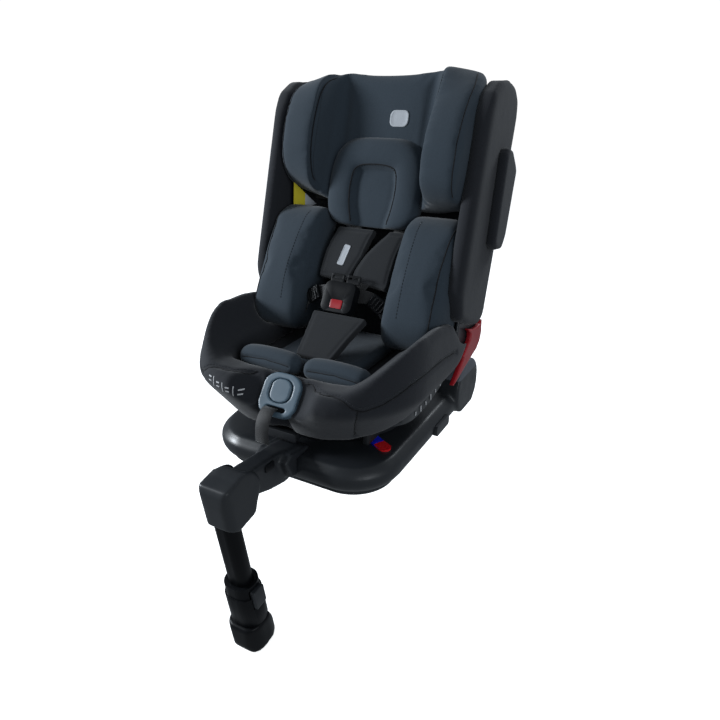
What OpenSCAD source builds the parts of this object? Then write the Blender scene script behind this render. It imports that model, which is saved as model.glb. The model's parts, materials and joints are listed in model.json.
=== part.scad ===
// Convertible swivelling child car seat on a latch-in base with a folding support leg.
// +Z up, the child faces -Y, +X is the child's left hand. Origin: underside of the base, on its centre line.

/* [Base] */
// Half width of the base at its rim
base_half_w = 186; // [182:1:190]
// Radius of the two rounded front lobes
lobe_r = 93; // [85:1:98]
// How far the lobe centres stand in front of the origin
lobe_y = -88; // [-92:1:-85]
// Rear end of the base
base_rear_y = 290; // [288:1:296]
// Height of the deck that the turntable turns on
deck_z = 58; // [54:1:62]
// Height of the rounded ears at the rear of the base
ear_top_z = 118; // [112:1:118]
// Front-to-back place of the swivel axis
swivel_y = 30; // [20:1:40]

/* [Seat] */
// Half width over the side bolsters
seat_half_w = 223; // [215:1:230]
// Angle of the backrest from the vertical
back_angle = 18; // [14:0.5:22]
// Place of the crease between seat and backrest, front to back
crease_y = 130; // [125:1:135]
// Height of the crease between seat and backrest
crease_z = 165; // [160:1:170]
// Height of the backrest shell above the crease
back_h = 500; // [480:5:510]
// Height of the axis that the seat reclines about
recline_axis_z = 430; // [425:1:435]
// Radius of the rocker under the seat
rocker_r = 330; // [326:1:332]

/* [Headrest] */
// Half width over the headrest wings
head_half_w = 186; // [180:1:188]
// Top of the headrest wings above the crease
head_top = 518; // [514:1:522]
// Underside of the headrest above the crease
head_low = 254; // [250:1:260]

/* [Leg] */
// Fold axis of the leg, front to back
leg_y = -312; // [-316:1:-308]
// Fold axis of the leg, height
leg_z = 66; // [64:1:68]
// How far the leg leans back towards the base
leg_lean = 8; // [6:0.5:9]
// Length from the fold axis to the sole
leg_len = 328; // [320:1:330]

/* [Latches] */
// Centre-to-centre distance of the two latches
latch_pitch = 280; // [280:1:280]
// Radius of the vehicle's anchor bar
anchor_r = 3; // [3:0.1:3.2]
// Height of the anchor bars above the underside
latch_z = 34; // [32:1:36]

/* [Hidden] */
$fn = 48;
wall = 4;
gap = 0.5;
shell_half_w = 182;
shell_edge = 211;
black = [0.05, 0.05, 0.06];
charcoal = [0.14, 0.15, 0.17];
slate = [0.20, 0.23, 0.26];
grey = [0.38, 0.43, 0.47];
red = [0.75, 0.06, 0.08];
steel = [0.60, 0.61, 0.63];
// Fold axis to the leg's own frame: the leg hangs along -Z there
collar_top = -178;
collar_low = -266;
foot_top = collar_low - gap;
table_h = 12;
table_top = deck_z + table_h + 2 * gap;
// Release controls in the block in front of the rails
lever_x0 = -46;
lever_x1 = 20;
lever_z = 88;
button_x = 38;
// Hollow of the anchor-bar jaw
jaw_r = anchor_r + 0.1;
jaw_y = 30;

// ---- frames ----
// Backrest frame: X across, -Y forward out of the backrest, Z up along it
module in_back() translate([0, crease_y, crease_z]) rotate([-back_angle, 0, 0]) children();
// Leg frame: origin on the fold axis, -Z down the leg
module in_leg() translate([0, leg_y, leg_z]) rotate([leg_lean, 0, 0]) children();
// Latch frame of one side: origin at the rear end of the sliding arm
module in_latch(side) translate([side * latch_pitch / 2, base_rear_y + 20, latch_z]) children();
// Buckle frame: origin at the buckle's middle, Z out of its face, Y up its face
module in_buckle() translate([0, 36, 277]) rotate([58, 0, 0]) children();
// Frame of the grey plate on the front slope, Z out of the plate
module in_plate() translate([0, -180, 180]) rotate([52, 0, 0]) children();

// ---- shared shapes ----
module box(x0, x1, y0, y1, z0, z1) translate([x0, y0, z0]) cube([x1 - x0, y1 - y0, z1 - z0]);
// Rod along X
module rod_x(r, x0, x1) translate([x0, 0, 0]) rotate([0, 90, 0]) cylinder(r = r, h = x1 - x0);
// Flat outline in Y and Z, thickened along X
module side_slab(x0, x1) translate([x0, 0, 0]) rotate([90, 0, 90]) linear_extrude(x1 - x0) children();
// Plate with round corners, lying in X and Y
module round_plate(w, d, r, h) linear_extrude(h) rounded(w, d, r);
module rounded(w, d, r) {
    square([w - 2 * r, d], center = true);
    square([w, d - 2 * r], center = true);
    for (sx = [-1, 1], sy = [-1, 1]) translate([sx * (w / 2 - r), sy * (d / 2 - r)]) circle(r);
}
// Outline of the base, drawn in by the given amount
module base_outline(inset) {
    corner_r = 34;
    for (s = [-1, 1]) {
        translate([s * (base_half_w - lobe_r), lobe_y]) circle(lobe_r - inset);
        translate([s * (base_half_w - corner_r), base_rear_y - corner_r]) circle(corner_r - inset);
    }
    polygon([for (s = [1, -1]) each [
        [s * (base_half_w - inset), s > 0 ? lobe_y : base_rear_y - corner_r],
        [s * (base_half_w - inset), s > 0 ? base_rear_y - corner_r : lobe_y]]]);
    polygon([for (s = [1, -1]) each [
        [s * (base_half_w - (s > 0 ? lobe_r : corner_r)), s > 0 ? lobe_y - lobe_r + inset : base_rear_y - inset],
        [s * (base_half_w - (s > 0 ? corner_r : lobe_r)), s > 0 ? base_rear_y - inset : lobe_y - lobe_r + inset]]]);
}

// ---- base ----
module base_tray() color(black) linear_extrude(7) base_outline(18);
// Levels of the cover's bowl-shaped wall: how far drawn in, from height, to height
wall_levels = [[15, 7 + gap, 12], [8, 12, 18], [3, 18, 26], [0, 26, 42], [3, 42, 47], [8, 47, 52], [14, 52, deck_z]];
module base_skin(inset, z0, z1) translate([0, 0, z0]) linear_extrude(z1 - z0) base_outline(inset);
ear_r = 60;
module ear(side, inset, r) translate([0, base_rear_y - ear_r - 2, ear_top_z - ear_r])
    rod_x(r, side > 0 ? 146 + inset : -base_half_w - 6 + inset, side > 0 ? base_half_w + 6 - inset : -146 - inset);
module base_cover() color(charcoal) difference() {
    union() {
        for (level = wall_levels) base_skin(level[0], level[1], level[2]);
        box(-150, 150, base_rear_y - 74, base_rear_y - 12, 50, 78);
        for (s = [-1, 1]) ear(s, 0, ear_r);
    }
    base_skin(wall + 15, 0, deck_z - wall);
    box(-154, 154, base_rear_y - 70, base_rear_y - 16, 30, 74);
    for (s = [-1, 1]) ear(s, wall, ear_r - wall);
    // hub hole, latch mouths, side grips, underside
    translate([0, swivel_y, 0]) cylinder(r = 40, h = 80);
    for (s = [-1, 1]) {
        box(s * latch_pitch / 2 - 17, s * latch_pitch / 2 + 17, base_rear_y - 40, 400, latch_z - 15, latch_z + 15);
        translate([s * (base_half_w - 8), 96, 27]) rotate([90, 0, 90]) translate([0, 0, -12]) round_plate(64, 22, 6, 24);
        box(s > 0 ? 40 : -260, s > 0 ? 260 : -40, -50, 400, -70, 7 + gap);
    }
}
module latch_rails() color(steel) for (s = [-1, 1]) difference() {
    box(s * latch_pitch / 2 - 16, s * latch_pitch / 2 + 16, 124, base_rear_y - 41, latch_z - 14, latch_z + 14);
    box(s * latch_pitch / 2 - 13, s * latch_pitch / 2 + 13, 120, 300, latch_z - 11, latch_z + 11);
}
module swivel_ring() color(steel) translate([0, swivel_y, 0]) {
    difference() {
        translate([0, 0, 7.5]) cylinder(r = 46, h = 46);
        translate([0, 0, 6]) cylinder(r = 36.05, h = 60);
    }
}
arm_half_w = 18;
eye_r = 31;
// Deep arm from the deck's front edge out to the eye that carries the folding leg
module leg_arm() color(charcoal) difference() {
    union() {
        side_slab(-arm_half_w, arm_half_w) polygon([[-142, deck_z + gap], [-142, 68], [-200, 80], [-246, 86],
            [leg_y + 18, leg_z + 25], [leg_y, leg_z + eye_r - 1], [leg_y, leg_z - 20], [leg_y + 30, leg_z - 26],
            [-239, 24], [-199, 15], [-181.5, 14], [-181.5, deck_z + gap]]);
        translate([0, leg_y, leg_z]) rod_x(eye_r, -arm_half_w, arm_half_w);
        // shoulders that spread the load over the deck's front edge
        side_slab(-34, 34) polygon([[-142, deck_z + gap], [-142, 66], [-196, 76], [-214, 66], [-200, 30],
            [-181.5, 26], [-181.5, deck_z + gap]]);
    }
    translate([0, leg_y, leg_z]) rod_x(6.05, -60, 60);
}
module leg_pin() color(steel) translate([0, leg_y, leg_z]) rod_x(6, -25, 25);
module leg_indicator() color([0.12, 0.2, 0.16]) translate([0, -238, 0])
    side_slab(arm_half_w + 0.2, arm_half_w + 2) translate([0, 72]) rounded(24, 14, 4);
module direction_badge() color([0.2, 0.1, 0.6]) for (s = [-1, 1]) translate([134, -70, deck_z + 0.2])
    rotate(-28) translate([s * 9.3, 0, 0]) intersection() {
        union() {
            translate([s * 4, 0, 0]) cylinder(r = 9, h = 3);
            box(s > 0 ? -9 : -4, s > 0 ? 4 : 9, -9, 9, 0, 3);
        }
        box(-16, 16, -10, 10, 0, 3);
    }

// ---- latches ----
module latch_arm(side) color(steel) in_latch(side) difference() {
    box(-12.5, 12.5, -172, 0, -10.5, 10.5);
    box(-10, 10, -180, -6, -8, 8);
}
// Housing with the open jaw for the anchor bar; the hook turns in the slot between its cheeks
module latch_head(side) color(black) in_latch(side) difference() {
    union() {
        box(-15, 15, gap, 44, -13, 13);
        box(-12, 12, 43, 50, -12, 12);
    }
    translate([0, jaw_y, 0]) rod_x(jaw_r, -20, 20);
    box(-20, 20, jaw_y, 60, -jaw_r, jaw_r);
    box(-4, 4, 8, 60, -20, 11);
    translate([0, 14, 22]) box(-9, 9, -10, 14, -12.5, -5);
}
hook_y = 24;
hook_z = -6.5;
module latch_hook(side) color(steel) in_latch(side) difference() {
    side_slab(-3.5, 3.5) polygon([[hook_y - 6, -10.5], [44, -10.5], [46, -4], [46, 5], [41, 5],
        [38.5, 1], [36, -4.2], [20, -4.2], [hook_y - 6, -4.2]]);
    translate([0, hook_y, hook_z]) rod_x(1.5, -10, 10);
}
module latch_release(side) color(red) in_latch(side) translate([0, 14, 22])
    box(-8.5, 8.5, -9.5, 5, -12, -8);
module slide_grip(side) color(black) translate([side * (base_half_w - 4), 96, 27]) rotate([90, 0, 90])
    translate([0, 0, -9]) round_plate(63, 21, 5.5, 18);

// ---- turntable ----
module turntable() color(black) translate([0, swivel_y, 0]) difference() {
    union() {
        translate([0, 0, deck_z + gap]) cylinder(r = 142, h = table_h);
        translate([0, 0, 10]) cylinder(r = 36, h = deck_z);
    }
    translate([0, 0, 5]) cylinder(r = 28, h = 90);
}
// Two arc-topped rails that the seat rocks on, and the block that holds the release controls
module recline_cradle() color(charcoal) {
    for (s = [-1, 1]) side_slab(s > 0 ? 118 : -132, s > 0 ? 132 : -118) difference() {
        translate([-106, table_top]) square([236, 52]);
        translate([0, recline_axis_z]) circle(rocker_r + 1, $fn = 96);
    }
    difference() {
        box(-54, 54, -130, -102, table_top, 108);
        box(lever_x0 - gap, lever_x1 + gap, -140, -90, lever_z - 6 - gap, lever_z + 6 + gap);
        translate([button_x, -131, lever_z]) rotate([-90, 0, 0]) cylinder(r = 7.05, h = 24);
    }
}
module recline_lever() color(charcoal) union() {
    box(lever_x0, lever_x1, -164, -100, lever_z - 6, lever_z + 6);
    box(lever_x0 - 3, lever_x1 + 3, -168, -152, lever_z - 8, lever_z + 8);
}
module swivel_button() color(red) translate([button_x, -146, lever_z]) rotate([-90, 0, 0])
    cylinder(r = 7, h = 32);

// ---- seat shells ----
module rocker_band(r_out, r_in, y0, y1, z_top) intersection() {
    difference() {
        translate([0, recline_axis_z]) circle(r_out, $fn = 96);
        translate([0, recline_axis_z]) circle(r_in, $fn = 96);
    }
    translate([y0, 80]) square([y1 - y0, z_top - 80]);
}
module pan_shell() color(black) intersection() {
    union() {
        side_slab(-shell_half_w, shell_half_w) rocker_band(rocker_r, rocker_r - 6, -158, 158, 200);
        for (s = [-1, 1])
            side_slab(s > 0 ? shell_half_w - 6 : -shell_half_w, s > 0 ? shell_half_w : -shell_half_w + 6)
                intersection() {
                    translate([0, recline_axis_z]) circle(rocker_r - 5, $fn = 96);
                    polygon([[-158, 90], [158, 90], [158, 132], [60, 172], [-158, 172]]);
                }
    }
    translate([0, 0, 80]) linear_extrude(150) pan_plan(0);
}
module pan_plan(grow) {
    seat_plan(shell_half_w + grow, -158 - grow, 130);
    translate([-shell_half_w - grow, 0]) square([2 * (shell_half_w + grow), 200]);
}
module recline_scale() color([0.85, 0.85, 0.85]) for (s = [-1, 1], a = [-4:4:20])
    translate([s * (shell_half_w + 0.9), 0, recline_axis_z]) rotate([a, 0, 0])
        translate([0, 0, -rocker_r + 9]) cube([1.4, 3, a % 8 == 0 ? 13 : 8], center = true);
module back_shell() color(black) in_back() difference() {
    side_slab(-shell_edge, shell_edge) polygon([[-58, 12], [-58, 462], [-36, back_h - 12], [16, back_h - 12], [40, 474],
        [50, 440], [50, 12]]);
    box(-204, 204, -60, 38, 2, back_h);
}

// ---- soft solids of the seat ----
module seat_cushion() color(black) intersection() {
    translate([0, 0, 120]) linear_extrude(52) pan_plan(-6 - gap);
    box(-200, 200, -170, 118, 110, 180);
    translate([0, 0, recline_axis_z]) rod_x(rocker_r - 6.5, -200, 200);
}
bolster_front_y = -214;
module seat_plan(half_w, front_y, corner_r) {
    for (s = [-1, 1]) translate([s * (half_w - corner_r), front_y + corner_r]) circle(corner_r);
    translate([-half_w, front_y + corner_r]) square([2 * half_w, 130 - front_y - corner_r]);
}
// Boat-shaped body of the padded surround: narrow at the hem, widest at the rim
module seat_tub() hull() {
    translate([0, 0, 98]) linear_extrude(1) seat_plan(166, -166, 118);
    translate([0, 0, 176]) linear_extrude(10) seat_plan(seat_half_w, bolster_front_y, 150);
    translate([0, 0, 262]) linear_extrude(10) seat_plan(seat_half_w - 8, bolster_front_y + 40, 140);
}
module seat_side() polygon([[-60, 98], [-190, 98], [-230, 140], [-226, 185], [-196, 214], [-160, 236],
    [-110, 262], [-70, 271], [0, 268], [60, 256], [110, 236], [136, 214], [134, 203], [100, 180], [40, 140],
    [0, 112]]);
// Front view of the room over the padded surround, low in the middle and rising to the rims
module saddle() polygon([[-206, 300], [-206, 276], [-192, 258], [-172, 236], [-150, 218], [-128, 207], [-90, 202],
    [90, 202], [128, 207], [150, 218], [172, 236], [192, 258], [206, 276], [206, 300]]);
module seat_bolster() color(black) difference() {
    intersection() {
        seat_tub();
        side_slab(-240, 240) seat_side();
    }
    // hollow over the shell, the sitting well, the room of the inserts, and the saddle between the rims
    translate([0, 0, 90]) linear_extrude(83) pan_plan(2);
    box(-138, 138, -126, 200, 90, 300);
    translate([0, 300, 0]) rotate([90, 0, 0]) linear_extrude(600) saddle();
    box(-shell_half_w - 10, shell_half_w + 10, 95, 200, 90, 300);
    in_back() {
        box(-192, 192, -144, 60, 6, 260);
        box(-shell_edge - 1.5, shell_edge + 1.5, -60, 60, 10, 60);
        side_slab(-240, 240) polygon([[60, 32], [-41, 32], [-86, 58.5], [-110.5, 109], [-118, 200], [-118, 300],
            [60, 300]]);
    }
    box(-132, 132, -142, -120, 180, 300);
    in_plate() box(-36, 36, -47, 47, -12.5, 60);
    box(-19, 19, -240, -160, 90, 158);
}
module wing_profile() {
    polygon([[193, -18], [193, -96], [222, -96], [222, 46], [212, 46], [212, -62], [203, -62], [203, -18]]);
    translate([207.5, -96]) circle(14.5);
}
module wing(side) color(black) in_back() intersection() {
    translate([0, 0, 34]) linear_extrude(back_h - 28) wing_mirror(side);
    side_slab(-230, 230) polygon([[-84, 74], [-108, 116], [-115, 200], [-115, 400], [-98, 458], [-72, 484],
        [-40, 499], [10, 500], [34, 486], [46, 458], [52, 430], [52, 104], [42, 80], [28, 68], [0, 64], [-50, 66]]);
}
module wing_mirror(side) if (side > 0) wing_profile(); else mirror([1, 0]) wing_profile();
module back_pad() color(charcoal) in_back() difference() {
    box(-192, 192, -20, 37.5, 8, back_h - 20);
    for (s = [-1, 1]) box(s * 66 - 9, s * 66 + 9, -21, -6, 80, back_h);
}
module insert_side(side) color(slate) in_back() intersection() {
    box(side > 0 ? 94 : -191, side > 0 ? 191 : -94, -170, -20.5, 0, 246);
    side_slab(-230, 230) polygon([[-20, 246], [-66, 246], [-96, 225], [-120, 160], [-136, 90], [-142, 44],
        [-124, 8], [-20, 8]]);
}
module insert_seat() color(slate) {
    difference() {
        box(-90, 90, -124, 108, 173, 190);
        box(-32, 32, -130, -70, 170, 200);
    }
    for (s = [-1, 1]) translate([s * 69, -116, 198]) rotate([0, 90, 0]) translate([0, 0, -49]) {
        cylinder(r = 17, h = 98);
        sphere(17);
        translate([0, 0, 98]) sphere(17);
    }
}
// Guide for the vehicle's belt: a hook beside the foot of the shell, and a strip running down from it
module belt_guide(side) color(red) difference() {
    union() {
        side_slab(side > 0 ? shell_edge + 0.6 : -222, side > 0 ? 222 : -shell_edge - 0.6)
            polygon([[200, 199], [192, 181], [177, 169], [118, 154], [78, 142], [54, 137], [100, 172], [137, 204],
                [160, 214]]);
        in_back() side_slab(side > 0 ? shell_edge + 0.6 : -222, side > 0 ? 222 : -shell_edge - 0.6)
            polygon([[-60, 58], [0, 57], [28, 62], [38, 68], [46, 78], [54, 54], [53, 32], [42, 17], [20, 5],
                [-50, 5], [-60, 30]]);
    }
    side_slab(-240, 240) rim_clearance();
}
// Room kept free around the seat's padded rim
module rim_clearance() polygon([[-60, 80], [0, 111.5], [40, 139.5], [100, 179.5], [134.5, 202.5], [137, 214],
    [110, 237], [60, 270], [-60, 290]]);

// ---- harness ----
module adjuster_plate() color(grey) in_plate() difference() {
    translate([0, 0, -12]) round_plate(66, 84, 26, 14);
    translate([0, 8, -20]) round_plate(40, 46, 17, 30);
    translate([0, -27, -20]) round_plate(34, 9, 3, 30);
}
module adjuster_button() color(grey) in_plate() translate([0, 8, -6]) round_plate(39, 45, 16.5, 9);
module adjuster_strap() color(black) side_slab(-14, 14) strap_profile();
strap_path = [[-200, 158], [-208, 158], [-218, 154], [-226, 146], [-230, 134], [-230, 120], [-228, 106]];
module strap_profile() polygon(concat(strap_path, [for (i = [len(strap_path) - 1:-1:0]) strap_path[i] + [1.6, -1.8]]));
module crotch_pad() color(charcoal) translate([0, -38, 227]) rotate([34, 0, 0]) round_box(74, 100, 13);
module round_box(w, d, t) translate([0, 0, -t / 2]) round_plate(w, d, 12, t);
module buckle() color(black) in_buckle() difference() {
    translate([0, 0, -2]) round_plate(64, 58, 12, 20);
    translate([0, -14, 3]) round_plate(25, 17, 3, 20);
}
module buckle_button() color(red) in_buckle() translate([0, -14, 7]) round_plate(24.4, 16.4, 2.8, 12);
module buckle_tongues() color(steel) in_buckle() for (s = [-1, 1]) translate([s * 17, 38, 5])
    difference() {
        translate([0, 0, -1]) round_plate(28, 17, 3, 2.5);
        translate([0, 2, -3]) round_plate(20, 4, 1.5, 8);
    }
// Flat belt between two points given in the backrest frame
module belt(p, q, w, t) hull() for (e = [p, q]) translate(e) cube([w, t, 1], center = true);
module harness_webbing() color(black) {
    in_back() for (s = [-1, 1]) {
        belt([s * 38, -22, 240], [s * 40, -40, 214], 26, 1.6);
        belt([s * 40, -40, 214], [s * 30, -84, 118], 26, 1.6);
        belt([s * 58, -60, 84], [s * 78, -40, 60], 24, 1.6);
    }
}
module shoulder_pad(side) color(black) in_back() hull() {
    translate([side * 41, -56, 208]) cube([70, 14, 2], center = true);
    translate([side * 39, -97, 116]) cube([70, 14, 2], center = true);
}
// ---- headrest ----
module headrest_shell() color(black) in_back() difference() {
    box(-150, 150, -29, -20.5, head_low + 14, head_top - 22);
    box(-45, 45, -30, -20, head_top - 62, head_top - 38);
}
module head_side() polygon([[-29.5, head_low], [-66, head_low + 12], [-114, head_low + 40],
    [-137, head_low + 80], [-149, head_low + 122], [-147, head_low + 160], [-138, head_top - 82],
    [-122, head_top - 54], [-92, head_top - 28], [-58, head_top - 9], [-29.5, head_top]]);
module headrest_pad() color(slate) in_back() difference() {
    intersection() {
        translate([0, 0, head_low]) linear_extrude(head_top - head_low) polygon([[-head_half_w, -29.5],
            [-head_half_w, -60], [16 - head_half_w, -150], [head_half_w - 16, -150], [head_half_w, -60],
            [head_half_w, -29.5]]);
        side_slab(-230, 230) head_side();
    }
    // hollow between the wings, wider at the top
    translate([0, 0, head_low - 1]) rotate([90, 0, 0]) translate([0, 0, 40]) linear_extrude(130)
        polygon([[-112, 0], [112, 0], [118, 100], [150, 215], [158, 280], [-158, 280], [-150, 215], [-118, 100]]);
    translate([0, 0, head_top + 326]) rotate([90, 0, 0]) cylinder(r = 340, h = 160, $fn = 96);
}
module headrest_rails() color(steel) in_back() for (s = [-1, 1])
    box(s * 66 - 8, s * 66 + 8, -20, -8, 100, head_top - 45);
module headrest_lever() color(charcoal) in_back() difference() {
    box(-44, 44, -20, 4, head_top - 32, head_top - 10);
    box(-32, 32, -12, -4, head_top - 40, head_top);
}
module neck_pillow() color(slate) in_back() difference() {
    translate([0, -41, 304]) rotate([90, 0, 0]) round_plate(190, 168, 60, 34);
    translate([0, -62, 286]) rotate([90, 0, 0]) round_plate(84, 110, 14, 30);
}

// ---- side protectors ----
// Hinge line of a side protector, in the backrest frame
hinge_x = 226.6;
hinge_n = 44.3;
module at_hinge(side, z) in_back() translate([side * hinge_x, hinge_n, z]) mirror([side > 0 ? 0 : 1, 0, 0]) children();
module side_protector(side) color(charcoal) {
    in_back() translate([side * 222.6, 0, 0]) side_slab(side > 0 ? 0 : -18, side > 0 ? 18 : 0)
        polygon([[-34, 372], [-26, 386], [0, 386], [41, 362], [41, 240], [30, 214], [-6, 208], [-22, 216]]);
    at_hinge(side, 251) difference() {
        cylinder(r = 3.6, h = 109);
        translate([0, 0, -1]) cylinder(r = 1.65, h = 111);
    }
}
// Hinge pins, each carried by two lugs screwed to the back of the shell
module protector_pins() color(steel) for (side = [-1, 1]) {
    at_hinge(side, 246) cylinder(r = 1.6, h = 119);
    for (z = [245.5, 360.5]) at_hinge(side, z) {
        cylinder(r = 2.8, h = 5);
        box(-3, 0, 0, 8.2, 0, 5);
        box(-36, 0, 6, 8.2, 0, 5);
    }
}

// ---- support leg ----
// The tube stands a little in front of the fold axis
tube_y = -26;
module leg_housing() color(charcoal) in_leg() difference() {
    intersection() {
        union() {
            side_slab(-29, 29) polygon([[-44, 24], [-38, 34], [-2, 36], [28, 20], [36, 0], [33, -14], [19, -41],
                [14, -50], [-30, -52], [-46, -42], [-46, 0]]);
            rod_x(38, -21, 29);
            rod_x(33, -29, 0);
        }
        translate([0, 4, -80]) round_plate(58, 100, 14, 160);
    }
    // slot for the arm between the two cheeks, open behind and below
    rod_x(eye_r + 2, -arm_half_w - 0.6, arm_half_w + 0.6);
    side_slab(-arm_half_w - 0.6, arm_half_w + 0.6)
        polygon([[15, 60], [15, 27], [0, 10], [-26, -15], [-8, -60], [60, -60], [60, 60]]);
    rod_x(6.05, -25.5, 25.5);
    translate([0, tube_y, -100]) round_plate(42.4, 34.4, 16.2, 62);
}
module leg_tube() color(black) in_leg() translate([0, tube_y, collar_top - 57.8]) difference() {
    round_plate(42, 34, 16, -38.5 - collar_top + 57.8);
    translate([0, 0, -1]) round_plate(35, 27, 12.6, 400);
}
module leg_collar() color(black) in_leg() translate([0, tube_y, collar_low]) difference() {
    union() {
        round_plate(64, 58, 28, 66);
        translate([0, 0, 66]) round_plate(58, 52, 25, 24);
    }
    translate([0, 0, 29.9]) round_plate(42.1, 34.1, 16.05, 100);
    translate([0, 0, -1]) round_plate(35, 27, 12.6, 60);
    box(20, 44, -14, 14, 40, 82);
}
module leg_button() color(black) in_leg() translate([0, tube_y, collar_low]) box(25.6, 35.5, -13, 13, 41, 81);
module leg_inner_tube() color(steel) in_leg() translate([0, tube_y, foot_top - 12]) difference() {
    round_plate(34, 26, 12.1, 200);
    translate([0, 0, -1]) round_plate(30, 22, 10.1, 220);
}
module leg_foot() color(black) in_leg() translate([0, tube_y, 0]) difference() {
    intersection() {
        translate([0, 0, -leg_len]) linear_extrude(leg_len + foot_top) union() {
            translate([0, -7]) circle(33);
            translate([0, 5]) circle(33);
        }
        rotate([0, 90, 0]) translate([0, 0, -60]) linear_extrude(120)
            polygon([[-foot_top, -35], [-foot_top, 18], [leg_len - 24, 34], [leg_len, 32], [leg_len, -32],
                [leg_len - 18, -38]]);
    }
    translate([0, 0, foot_top - 12.2]) round_plate(34.1, 26.1, 12.15, 60);
}

base_tray();
base_cover();
latch_rails();
swivel_ring();
leg_arm();
leg_pin();
leg_indicator();
direction_badge();
latch_arm(1);  // latch_arm_left
latch_arm(-1);  // latch_arm_right
latch_head(1);  // latch_head_left
latch_head(-1);  // latch_head_right
latch_hook(1);  // latch_hook_left
latch_hook(-1);  // latch_hook_right
latch_release(1);  // latch_release_left
latch_release(-1);  // latch_release_right
slide_grip(1);  // slide_grip_left
slide_grip(-1);  // slide_grip_right
turntable();
recline_cradle();
swivel_button();
pan_shell();
back_shell();
recline_scale();
seat_cushion();
seat_bolster();
wing(1);  // wing_left
wing(-1);  // wing_right
back_pad();
insert_side(1);  // insert_left
insert_side(-1);  // insert_right
insert_seat();
belt_guide(1);  // belt_guide_left
belt_guide(-1);  // belt_guide_right
adjuster_plate();
adjuster_button();
adjuster_strap();
crotch_pad();
buckle();
buckle_button();
buckle_tongues();
harness_webbing();
shoulder_pad(1);  // shoulder_pad_left
shoulder_pad(-1);  // shoulder_pad_right
recline_lever();
headrest_shell();
headrest_pad();
headrest_rails();
headrest_lever();
neck_pillow();
side_protector(1);  // side_protector_left
side_protector(-1);  // side_protector_right
protector_pins();
leg_housing();
leg_tube();
leg_collar();
leg_button();
leg_inner_tube();
leg_foot();
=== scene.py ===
# Looks of a convertible car seat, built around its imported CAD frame. Metres, +Z up, the child faces -Y.
import json
import math

import bpy
import numpy as np
from mathutils import Matrix, Vector
from mathutils.bvhtree import BVHTree


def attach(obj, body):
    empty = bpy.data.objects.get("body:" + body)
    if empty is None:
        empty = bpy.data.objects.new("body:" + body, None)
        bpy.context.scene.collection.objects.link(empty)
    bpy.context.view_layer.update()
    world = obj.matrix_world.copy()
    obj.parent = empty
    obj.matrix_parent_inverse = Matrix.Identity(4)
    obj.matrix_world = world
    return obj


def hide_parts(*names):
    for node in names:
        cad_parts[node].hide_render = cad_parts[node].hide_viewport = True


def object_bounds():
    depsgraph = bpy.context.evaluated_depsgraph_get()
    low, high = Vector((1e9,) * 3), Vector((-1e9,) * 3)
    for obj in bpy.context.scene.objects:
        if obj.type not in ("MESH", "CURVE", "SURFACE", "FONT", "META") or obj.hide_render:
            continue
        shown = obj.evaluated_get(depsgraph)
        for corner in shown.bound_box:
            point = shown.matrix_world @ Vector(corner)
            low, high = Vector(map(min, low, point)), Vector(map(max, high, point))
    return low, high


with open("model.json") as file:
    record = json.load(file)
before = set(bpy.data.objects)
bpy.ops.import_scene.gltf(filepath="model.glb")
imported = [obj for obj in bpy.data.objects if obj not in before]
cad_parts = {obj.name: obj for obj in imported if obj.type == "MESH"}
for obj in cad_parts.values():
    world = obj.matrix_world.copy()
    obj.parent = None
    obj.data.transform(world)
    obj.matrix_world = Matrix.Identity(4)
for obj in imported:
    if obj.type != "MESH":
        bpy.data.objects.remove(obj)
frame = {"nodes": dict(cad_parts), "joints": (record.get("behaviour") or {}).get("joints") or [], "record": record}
CAD_BOX = [list(corner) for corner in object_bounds()]
NODES = frame["nodes"]
SLOT_OF = {part["node"]: part["material_slot"] for part in frame["record"]["subparts"]}

# ---- frame of the backrest: X across, n forward out of it, u up along it, from the crease ----
UP = next(j for j in frame["joints"] if j["name"] == "headrest_height")["axis"]
LEAN_S, LEAN_C = UP[1], UP[2]
CREASE = (0.130, 0.165)
# the sign of X and the label of each side
SIDES = ((1, "left"), (-1, "right"))


def back(points):
    """Backrest coordinates (x, n, u) to row coordinates."""
    p = np.atleast_2d(np.asarray(points, float))
    y = CREASE[0] + p[:, 2] * LEAN_S - p[:, 1] * LEAN_C
    z = CREASE[1] + p[:, 2] * LEAN_C + p[:, 1] * LEAN_S
    return np.stack([p[:, 0], y, z], 1)


def smoothstep(x, low, high):
    t = np.clip((np.asarray(x, float) - low) / (high - low), 0, 1)
    return t * t * (3 - 2 * t)


# ---- camera, light, floor ----
def add_camera():
    azimuth, elevation, roll = (math.radians(a) for a in (29.36, 24.12, -0.5))
    forward = Vector((-math.sin(azimuth) * math.cos(elevation), math.cos(azimuth) * math.cos(elevation),
                      -math.sin(elevation)))
    level = forward.cross(Vector((0, 0, 1))).normalized()
    upright = level.cross(forward)
    right = math.cos(roll) * level + math.sin(roll) * upright
    top = -math.sin(roll) * level + math.cos(roll) * upright
    data = bpy.data.cameras.new("camera")
    data.sensor_width = 36
    data.lens = 31.2
    data.clip_start = 0.05
    camera = bpy.data.objects.new("camera", data)
    camera.matrix_world = Matrix.Translation((0.5746, -0.9192, 0.6510)) @ Matrix(
        (right, top, -forward)).transposed().to_4x4()
    bpy.context.collection.objects.link(camera)
    bpy.context.scene.camera = camera


def add_area(name, place, target, size, power):
    data = bpy.data.lights.new(name, "AREA")
    data.shape = "DISK"
    data.size = size
    data.energy = power
    data.color = (0.88, 0.94, 1.0)
    lamp = bpy.data.objects.new(name, data)
    aim = (Vector(target) - Vector(place)).to_track_quat("-Z", "Y")
    lamp.matrix_world = Matrix.Translation(place) @ aim.to_matrix().to_4x4()
    bpy.context.collection.objects.link(lamp)


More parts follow.
